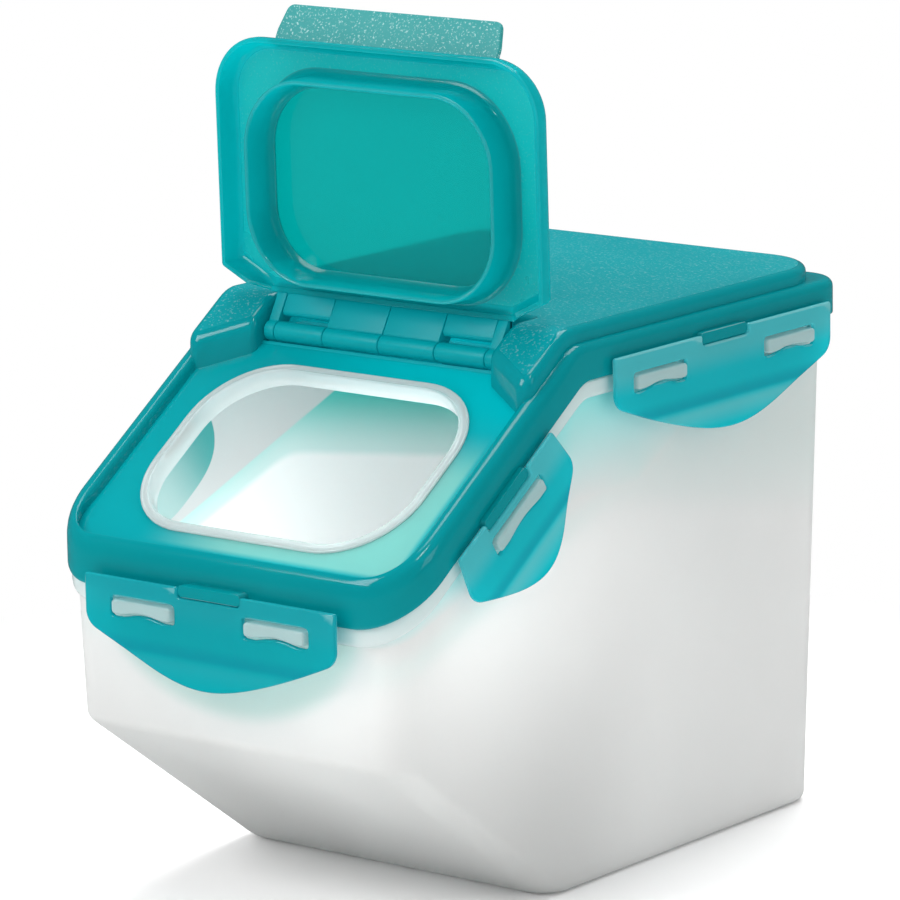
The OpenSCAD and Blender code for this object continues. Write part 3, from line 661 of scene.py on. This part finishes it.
def binRows(b, inset, levels, foot):
    # outline at each height; rows above the last level rise to the bent rim
    loops, heights = [], []
    for z in levels:
        e = foot - math.sqrt(max(foot ** 2 - max(foot - (z - inset), 0) ** 2, 0))
        half, front, rear = binExtents(z, b)
        tight = inset if z > b["crease"] else inset * 1.3  # more where the front leans
        half, front, rear = half - inset - e, front + tight + e * 0.6, rear - inset - e
        r = max(b["corner"] - inset - e, 2)
        corners = [(half, front), (half, rear), (-half, rear), (-half, front)]
        loops.append(roundedLoop(corners, [r] * 4, 12, [70, 24, 70, 24]))
        heights.append(np.full(len(loops[-1]), float(z)))
    base, baseZ = loops[-1], levels[-1]
    half0, front0, rear0 = binExtents(baseZ, b)
    for w in np.linspace(0, 1, 14)[1:]:
        top = bentHeight(base.imag, b["lip"])
        z = baseZ + w * (top - baseZ)
        half, front, rear = binExtents(z, b)
        x = base.real * (half - inset) / (half0 - inset)
        y = front + inset + (base.imag - front0 - inset) * (rear - front - 2 * inset) / (rear0 - front0 - 2 * inset)
        loops.append(x + 1j * y)
        heights.append(z)
    return np.array(loops), np.array(heights)


def liftFlat(x, y, t):
    # plan position and height as they are
    return np.stack([x, y, t], -1)


def binParts(b):
    # outer skin up to the rim and over it, inner skin, and both faces of the floor
    q = np.linspace(0, math.pi / 2, 6)
    levels = np.concatenate([np.linspace(8, 56, 9), np.linspace(58, 68, 11), [74, 84, 95, 104]])
    foot = b["foot"] - 1.2
    outer, outerZ = binRows(b, 0.0, np.concatenate([b["foot"] * (1 - np.cos(q)), levels]), b["foot"])
    inner, innerZ = binRows(b, b["wall"], np.concatenate([b["wall"] + foot * (1 - np.cos(q)), levels]), foot)
    outerRows, innerRows = liftFlat(outer.real, outer.imag, outerZ), liftFlat(inner.real, inner.imag, innerZ)
    return [ringPart(np.concatenate([outerRows, innerRows[-1:]])), ringPart(innerRows, skin=1),
            fillPart([outer[0]], 0.0, liftFlat, 12), fillPart([inner[0]], b["wall"], liftFlat, 12, skin=1)]


addPiece("binShell", "container", "bin", [binFrost, binInside], binParts(binSizes))


collar = {
    # insets from the lid's face, heights from the skirt's lower edge
    "face": 1.4, "root": 6.0, "low": -6.8, "high": -0.4, "roundLow": 2.0, "roundHigh": 0.9,
}


def collarParts(c):
    # bead under the skirt: quarter-round edges outside, let into the wall inside
    q = np.linspace(0, math.pi / 2, 6)
    inset = np.concatenate([[c["root"]], c["face"] + c["roundLow"] * (1 - np.sin(q)),
                            c["face"] + c["roundHigh"] * (1 - np.cos(q)), [c["root"]]])
    t = np.concatenate([[c["low"]], c["low"] + c["roundLow"] * (1 - np.cos(q)),
                        c["high"] - c["roundHigh"] * (1 - np.sin(q)), [c["high"]]])
    return [sectionPart(planLoop, -inset, t, liftBent)]


addPiece("binCollar", "container", "bin", [binGloss], collarParts(collar))
print("bin made")

latch = {
    "out": 2.0,  # hinge axis from the lid's face
    "endOut": 2.4,  # and further at the ends
    "height": 5.0,  # hinge axis above the skirt's lower edge
    "longCentre": 78.7,  # long side latch, behind the bend
    "shortPlace": (57.0, 0.6),  # short one, down the slope and off it
    "thick": 1.0,  # half thickness
    "fold": math.tan(math.radians(20)),
    "foldCurve": 3.0,  # half length of the fold's curve
    "pull": 9.0,
    "corner": 16.5,
    "cornerRadius": 7.0,
    "notch": (14.0, 2.7),  # half width and depth
    "slotDrop": 9.2,
    "slotHeight": 7.0,
    "bow": 1.4,
    "lugGap": 1.0,
    "web": (13.8, 2.1),  # half size of the film web
    # half width, drop, belly, taper, slot centres, slot length, lug root
    "end": (55.5, 33.5, 12.0, 0.0, (-29.5, 29.5), 28.5, 4.8),
    "long": (65.0, 33.5, 12.0, 0.0, (-39, 39), 31.0, 2.4),
    "short": (34.0, 34.0, 22.0, 3.0, (-1.4,), 33.0, 6.5),
}


def latchFrames():
    # for each name: origin on the hinge axis, along it, outwards, up, then the sizes
    w, l = halfWidth + latch["out"], halfLength + latch["out"] + latch["endOut"]
    low, high = frontEdge + latch["height"], edgeHeight + latch["height"]
    frames = {
        "front": ((0, -l, low), (1, 0, 0), (0, -1, 0), (0, 0, 1), *latch["end"]),
        "rear": ((0, l, high), (1, 0, 0), (0, 1, 0), (0, 0, 1), *latch["end"]),
    }
    s, t = latch["shortPlace"]
    for side, word in ((1, "right"), (-1, "left")):
        frames[word + "_rear"] = ((side * w, bendY + latch["longCentre"], high), (0, 1, 0), (side, 0, 0),
                                  (0, 0, 1), *latch["long"])
        origin = liftSlope(np.array(side * w), np.array(s), np.array(t))
        frames[word + "_front"] = (origin, (0, -cosA, -sinA), (side, 0, 0), (0, -sinA, cosA), *latch["short"])
    return frames


def latchLoop(half, drop, belly, taper):
    # ends that widen by taper, rounded corners, then a hyperbola: slopes that run into a round belly;
    # the upper edge has a notch in its middle, where the film web joins the latch to the lid
    c, r, (n, nd) = latch["corner"], latch["cornerRadius"], latch["notch"]
    slope = math.sqrt((drop + belly - c) ** 2 - belly ** 2) / half
    x = np.linspace(half, -half, 61)[1:-1]
    curve = drop + belly - np.sqrt(belly ** 2 + (slope * x) ** 2)
    keep = np.abs(x) < half - 6  # only clear of the rounded corners
    count = int(keep.sum())
    corners = [(taper - half, -1.0), (-n, -1.0), (-n, nd), (n, nd), (n, -1.0), (half - taper, -1.0), (half, c)]
    corners += list(zip(x[keep], curve[keep])) + [(-half, c)]
    radii = [0.9, 0.9, 1.6, 1.6, 0.9, 0.9, r] + [0] * count + [r]
    return roundedLoop(corners, radii, 6, [12, 1, 10, 1, 12, 6] + [1] * count + [1, 6])


def slotLoop(centre, length, height, bow):
    # straight upper edge, lower edge arched up over the middle 62 % of its length
    x = np.linspace(length / 2, -length / 2, 13)[1:-1]
    arch = height / 2 - bow * np.clip(1 - (2 * x / (length * 0.62)) ** 2, 0, 1) ** 1.2
    drop = latch["slotDrop"]
    h, l = height / 2, length / 2
    corners = [(centre - l, drop - h), (centre + l, drop - h), (centre + l, drop + h)]
    corners += [(centre + a, drop + b) for a, b in zip(x, arch)] + [(centre - l, drop + h)]
    return roundedLoop(corners, [1.4, 1.4, 1.4] + [0] * 11 + [1.4], 5, [10] + [1] * 14)


def latchLift(place, fold):
    origin, along, away, up = (np.array(v, float) for v in place[:4])

    def lift(x, v, t):
        # below the fold the pull turns outwards over a short parabola, which shortens its drop a little
        c = latch["foldCurve"]
        turned = np.where(v > fold + c, v - fold, np.clip(v - fold + c, 0, None) ** 2 / (4 * c))
        out, height = t + turned * latch["fold"], -(v - turned * 0.06)
        return origin + x[..., None] * along + out[..., None] * away + height[..., None] * up

    return lift


for word, place in latchFrames().items():
    half, drop, belly, taper, slots, length, root = place[4:]
    name, fold, g, thick = "latch_" + word, drop - latch["pull"], latch["lugGap"], latch["thick"]
    holes = [slotLoop(c, length, latch["slotHeight"], latch["bow"]) for c in slots]
    plate = addPiece(name + "Plate", name, name, [tealLatch],
                     plateParts(latchLoop(half, drop, belly, taper), -thick, thick, 0.8, 0.8, latchLift(place, fold),
                                holes, spacing=2.2))
    points = np.empty(len(plate.data.vertices) * 3)
    plate.data.vertices.foreach_get("co", points)
    fall = (np.array(place[0]) - points.reshape(-1, 3) * 1000) @ np.array(place[3])
    for attribute, value in (("fall", fall), ("foldFall", fall - drop + latch["pull"])):
        plate.data.attributes.new(attribute, "FLOAT", "POINT").data.foreach_set("value", value)
    # lugs and web don't fold: they stand straight out from the bin and the lid
    straight = latchLift(place, 999)
    lugs = []
    for c in slots:
        loop = slotLoop(c, length - 2 * g, latch["slotHeight"] - 2 * g, latch["bow"] * 0.8)
        lugs += plateParts(loop, -2.0 - root, 2.0, 0.1, 0.9, straight, spacing=6)
    addPiece("lugs_" + word, "container", "bin", [lugGloss], lugs)
    web = roundedLoop(rectCorners(*latch["web"], 0, 0.3), [1.6] * 4, 4, [1, 6, 1, 6])
    addPiece("web_" + word, "container", "lid", [tealGloss],
             plateParts(web, -0.5 - root, 0.2, 0.1, 0.3, straight, spacing=6))
print("latches made")

flip = {
    "half": 71.6,
    "far": 104.5,  # end with the tab, from the hinge axis
    "lean": math.radians(1.2),
    "near": 12.9,  # end at the hinge
    "chamfer": 21.6,  # where the chamfers start
    "neck": 54.0,  # half width between them
    "farRadius": 21.0,
    "nearRadius": 1.6,  # corners of the chamfer at the hinge
    "top": 7.7,  # outer face from the hinge axis
    "sheet": 1.9,
    "skirt": -1.5,  # lower edge of its skirt
    "edge": (6.0, 7.5),  # rounding of the outer edge, across and in depth
    "fillet": (3.1, 5.5),  # rounding inside it
    "plugHalf": (55.6, 36.9),
    "plugRadius": 26.4,
    "plugCentre": 55.0,
}


def flipLift(x, a, d):
    # at rest: a runs up from the hinge axis, leaning forward a little, and d towards the rear
    c, s = math.cos(flip["lean"]), math.sin(flip["lean"])
    return np.stack([x + 0 * a + 0 * d, hingeY + d * c - a * s, hingeZ + a * c + d * s], -1)


plugLoop = roundedLoop(rectCorners(*flip["plugHalf"], 0, flip["plugCentre"]), [flip["plugRadius"]] * 4, 14,
                       [14, 34, 14, 34])


def shrunkLoop(corners, radii, inset, arcSteps, edgeSteps):
    # every side moved inwards by inset, and every corner's radius shortened by it
    p = np.array([complex(*c) for c in corners])
    side = np.roll(p, -1) - p
    side /= np.abs(side)
    before = np.roll(side, 1)
    p = p + inset * 1j * (before + side) / (1 + (np.conj(before) * side).real)
    return roundedLoop([(c.real, c.imag) for c in p], [max(r - inset, 0.5) for r in radii], arcSteps, edgeSteps)


def flipTrayParts(f):
    # shallow tray: flange, inner fillet, skirt and rounded outer edge; the skirt fades out over the hinge
    corners = [(f["half"], f["chamfer"]), (f["half"], f["far"]), (-f["half"], f["far"]), (-f["half"], f["chamfer"]),
               (-f["neck"], f["near"]), (f["neck"], f["near"])]
    near, far, skirt, low = f["nearRadius"], f["farRadius"], f["skirt"], f["top"] - f["sheet"]
    radii = [near, far, far, near, near, near]
    q = np.linspace(0, math.pi / 2, 9)
    (e, ed), (g, gd) = f["edge"], f["fillet"]
    inset = np.concatenate([1.9 + g * (1 - np.sin(q)), [1.85, 1.7, 1.2, 0.5, 0.1, 0.0], e * (1 - np.cos(q))])
    d = np.concatenate([low - gd * (1 - np.cos(q)), [skirt + 0.5, skirt + 0.1, skirt, skirt, skirt + 0.3, skirt + 0.8],
                        f["top"] - ed * (1 - np.sin(q))])
    edgeSteps = [30, 40, 30, 8, 40, 8]
    rows = np.array([shrunkLoop(corners, radii, i, 14, edgeSteps) for i in inset])
    edge = shrunkLoop(corners, radii, 0.0, 14, edgeSteps)
    clear = np.clip((edge.imag - f["near"] - 0.2) / 3.0, 0, 1)  # 0 at the hinge, 1 from 3 mm away
    depth = d[:, None] + 0 * rows.real
    depth = np.where(depth < low, low - (low - depth) * (0.15 + 0.85 * clear), depth)
    depth = np.minimum(depth, f["top"])
    return [ringPart(flipLift(rows.real, rows.imag, depth)),
            fillPart([rows[0], plugLoop], low, flipLift, 8, skin=1), fillPart([plugLoop], low, flipLift, 8, skin=2),
            fillPart([rows[-1]], f["top"], flipLift, 8, skin=2)]


addPiece("flipLidTray", "flip_lid", "flip_lid", [tealWall, tealFrost, tealClear], flipTrayParts(flip))

plug = {
    # section of the plug wall: out from its outline, and depth from the hinge axis
    "out": [2.6, 1.3, 0.5, 0.1, 0.0, -0.3, -0.5, -1.1, -1.8, -2.1, -2.1, -2.4, -3.2, -4.6, -4.6, 2.6],
    "d": [5.8, 5.55, 4.8, 3.6, 2.0, -5.5, -6.1, -6.5, -6.1, -5.5, 2.6, 4.3, 5.3, 5.8, 6.6, 6.6],
}
addPiece("flipLidPlug", "flip_lid", "flip_lid", [tealWall],
         [sectionPart(plugLoop, plug["out"], plug["d"], flipLift)], sharp=60)


tab = {
    "root": (102.6, 6.4),  # from the hinge axis, up and in depth
    "tilt": math.radians(28),
    "half": (49.2, 47.0),  # at its root and at its end
    "length": 13.6,
    "thick": 0.95,  # half thickness
}


def tabLift(x, l, h):
    # l runs out along the tab from its root, h stands off it
    c, s = math.cos(tab["tilt"]), math.sin(tab["tilt"])
    return flipLift(x, tab["root"][0] + l * c - h * s, tab["root"][1] + l * s + h * c)


wide, narrow = tab["half"]
end = tab["length"]
tabLoop = roundedLoop([(wide, -1), (wide, 4), (narrow, end), (-narrow, end), (-wide, 4), (-wide, -1)],
                      [1, 2, 3.2, 3.2, 2, 1], 6, [2, 4, 30, 4, 2, 30])
addPiece("flipLidTab", "flip_lid", "flip_lid", [tealTab],
         plateParts(tabLoop, -tab["thick"], tab["thick"], 0.7, 0.7, tabLift, spacing=4))


def flipHingeLift(a, d, x):
    # profile across the hinge axis, carried along it
    return flipLift(x, a, d)


def flipHingeParts(f):
    # arms that curve from the plate down into the barrel
    top, low = f["top"], 5.8
    arm = roundedLoop([(3.4, -0.5), (13.8, low), (13.8, top), (4.4, top), (0.4, 4.2), (-0.4, 0.5)],
                      [3.0, 2.6, 0.4, 3.0, 3.0, 0.4], 6)
    parts = []
    for x0, x1 in hinge["flipKnuckles"]:
        parts += plateParts(barrelLoop, x0, x1, 0.4, 0.4, flipHingeLift, spacing=9)
        parts += plateParts(arm, x0, x1, 0.3, 0.3, flipHingeLift, spacing=9)
    # between the arms an apron reaches down to the lid's own barrels, so that the row reads as one sheet
    apron = roundedLoop([(4.9, 1.0), (13.8, low), (13.8, top), (4.9, top)], [1.5, 2.5, 0.35, 1.5], 6)
    for x0, x1 in hinge["aprons"]:
        parts += plateParts(apron, x0, x1, 0.3, 0.3, flipHingeLift, spacing=9)
    strip = roundedLoop(rectCorners(51.5, 6.0, 0, 10.4), [1.2] * 4, 4, [2, 20, 2, 20])
    return parts + plateParts(strip, low, top, 0.3, 0.6, flipLift, spacing=9)


addPiece("flipLidHinge", "flip_lid", "flip_lid", [tealHinge], flipHingeParts(flip))
print("flip lid made")

# two hidden solids are carried over from the frame and only need a material
for node, material in (("lid_gasket", softSeal), ("hinge_pin", tealGloss)):
    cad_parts[node].data.materials.clear()
    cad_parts[node].data.materials.append(material)


def paperSweep():
    # white paper: matt near the object, where its shadow falls, plain white to the eye further out, and dim in
    # reflections, because the photo's teal shows no white surroundings
    material, tree = newMaterial("paperSweep")
    paper = addNode(tree, "ShaderNodeBsdfPrincipled", inputs={
        "Base Color": linear("#FFFFFF"), "Roughness": 1.0, "Specular IOR Level": 0.0})
    white = addNode(tree, "ShaderNodeEmission", inputs={"Color": (1, 1, 1, 1), "Strength": 1.0})
    dim = addNode(tree, "ShaderNodeEmission", inputs={"Color": (1, 1, 1, 1), "Strength": 0.15})
    where = addNode(tree, "ShaderNodeNewGeometry").outputs["Position"]
    away = addNode(tree, "ShaderNodeVectorMath", {"operation": "LENGTH"}, {0: where})
    rays = addNode(tree, "ShaderNodeLightPath").outputs
    known = followAll(tree, {
        "paper": paper.outputs[0], "white": white.outputs[0], "dim": dim.outputs[0], "away": away.outputs["Value"],
        "camera": rays["Is Camera Ray"], "glossy": rays["Is Glossy Ray"], "through": rays["Is Transmission Ray"],
    }, [
        ("plain", ("*", ("max", "camera", "through"), ("ramp", "away", 0.15, 0.4))),
        ("mirrored", ("*", "glossy", ("-", 1.0, "through"))),
        ("surface", ("mix", "mirrored", ("mix", "plain", "paper", "white"), "dim")),
    ])
    addNode(tree, "ShaderNodeOutputMaterial", inputs={"Surface": known["surface"]})
    return material


bpy.ops.mesh.primitive_plane_add(size=8, location=(0, 0, 0))
floor = bpy.context.object
floor.name = "floor"
floor.data.materials.append(paperSweep())
floor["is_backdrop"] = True

world = scene.world or bpy.data.worlds.new("studio")
scene.world = world
world.use_nodes = True
tree = world.node_tree
tree.nodes.clear()
# the world is white to the eye and through the sheets, gives soft light to matt faces, and is dim in reflections
rays = addNode(tree, "ShaderNodeLightPath").outputs
seen = follow(tree, {}, ("max", rays["Is Camera Ray"], rays["Is Transmission Ray"]))
light = addNode(tree, "ShaderNodeMapRange", inputs={"Value": rays["Is Glossy Ray"], "To Min": 0.56, "To Max": 0.1})
level = addNode(tree, "ShaderNodeMix", {"data_type": "FLOAT"}, {0: seen, 2: light.outputs[0], 3: 1.0})
sky = addNode(tree, "ShaderNodeBackground", inputs={"Color": (1, 1, 1, 1), "Strength": level.outputs[0]})
addNode(tree, "ShaderNodeOutputWorld", inputs={"Surface": sky.outputs[0]})


def addLamp(name, place, target, size, power):
    # rectangular softbox, sized in metres and turned towards its target
    data = bpy.data.lights.new(name, "AREA")
    data.shape, data.size, data.size_y, data.energy = "RECTANGLE", size[0], size[1], power
    lamp = bpy.data.objects.new(name, data)
    lamp.location = place
    lamp.rotation_euler = (Vector(target) - Vector(place)).to_track_quat("-Z", "Y").to_euler()
    scene.collection.objects.link(lamp)
    return lamp


addLamp("softboxLeft", (-0.8, -1.6, 1.4), (0, 0, 0.1), (1.0, 1.0), 22)
addLamp("softboxTop", (-0.2, 0.4, 1.8), (0, 0, 0.1), (1.2, 1.2), 23)
addLamp("stripTop", (0.5, -0.55, 1.6), (0, 0, 0.15), (0.07, 0.5), 2.5)
addLamp("softboxRight", (1.8, -0.2, 1.0), (0, 0, 0.1), (0.7, 0.9), 3)
addLamp("softboxBack", (-0.5, 1.6, 1.1), (0, 0, 0.2), (1.0, 0.8), 10).visible_glossy = False
# light that gets in through the milky walls, which is too slow to trace
data = bpy.data.lights.new("insideFill", "POINT")
data.energy, data.shadow_soft_size = 0.34, 0.03
inside = bpy.data.objects.new("insideFill", data)
inside.location = (0.03, -0.075, 0.11)
inside.visible_camera = inside.visible_glossy = inside.visible_transmission = False
scene.collection.objects.link(inside)

# solved from the photo, in degrees, metres and millimetres of lens
view = {"azimuth": 38.417, "elevation": 11.959, "roll": -0.995, "distance": 1.9688,
        "lens": 222.07, "target": (0.0, -0.0028, 0.1446)}
a, e, roll = (math.radians(view[k]) for k in ("azimuth", "elevation", "roll"))
back = Vector((math.sin(a) * math.cos(e), -math.cos(a) * math.cos(e), math.sin(e)))
right = Vector((math.cos(a), math.sin(a), 0))
up = back.cross(right)
turnedRight = math.cos(roll) * right + math.sin(roll) * up
turnedUp = math.cos(roll) * up - math.sin(roll) * right
camera = bpy.data.objects.new("camera", bpy.data.cameras.new("camera"))
place = Matrix((turnedRight, turnedUp, back)).transposed().to_4x4()
place.translation = Vector(view["target"]) + back * view["distance"]
camera.matrix_world = place
camera.data.sensor_width = 36
camera.data.lens = view["lens"]
camera.data.clip_end = 50
scene.collection.objects.link(camera)
scene.camera = camera
scene.view_settings.view_transform = "Standard"
print("stage made")

plain = lambda box: [[round(float(v), 6) for v in corner] for corner in box]
{"cad": plain(cadBox), "visual": plain(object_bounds())}
